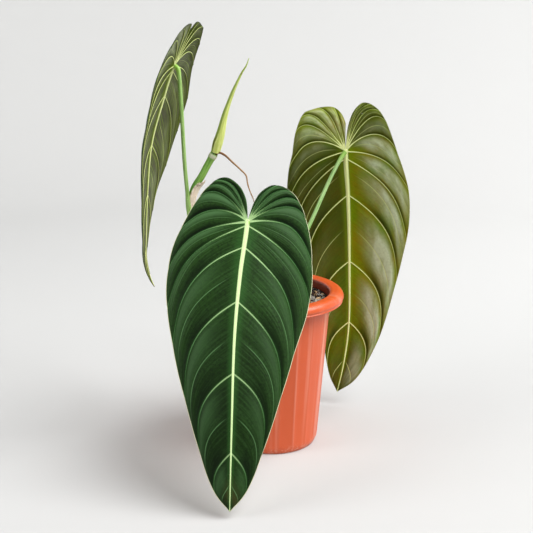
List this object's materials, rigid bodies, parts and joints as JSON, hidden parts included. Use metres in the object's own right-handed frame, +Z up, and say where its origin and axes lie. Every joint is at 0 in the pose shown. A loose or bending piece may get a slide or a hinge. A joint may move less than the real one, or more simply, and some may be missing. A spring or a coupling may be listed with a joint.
{
  "type": "potted black gold philodendron",
  "caption": "Potted climbing aroid with long hanging heart-shaped leaves, a rolled new leaf and a fluted plastic pot that stands on its flat base.",
  "frame": {"origin": "centre of the pot's flat underside", "axes": "+Z up along the pot's axis, -Y towards the front leaf and the viewer, +X to the viewer's right"},
  "size_m": [0.2949, 0.2839, 0.4518],
  "materials": {
    "pot": "satin terracotta plastic",
    "soil": "chunky mix of charcoal, grit and bark",
    "stem": "smooth green",
    "leaf": "velvety dark green above with pale veins, glossy bronze olive below",
    "petiole": "smooth light green",
    "spear": "smooth yellow green",
    "dry_sheath": "dry and papery",
    "aerial_root": "rough brown"
  },
  "bodies": {
    "root": {"pot": "pot", "soil": "soil", "stem": "stem", "leaf_front": "leaf", "leaf_right": "leaf", "leaf_left": "leaf", "petiole_front": "petiole", "petiole_right": "petiole", "petiole_left": "petiole", "new_leaf_spear": "spear", "dry_sheath": "dry_sheath", "aerial_root": "aerial_root"}
  },
  "joints": []
}
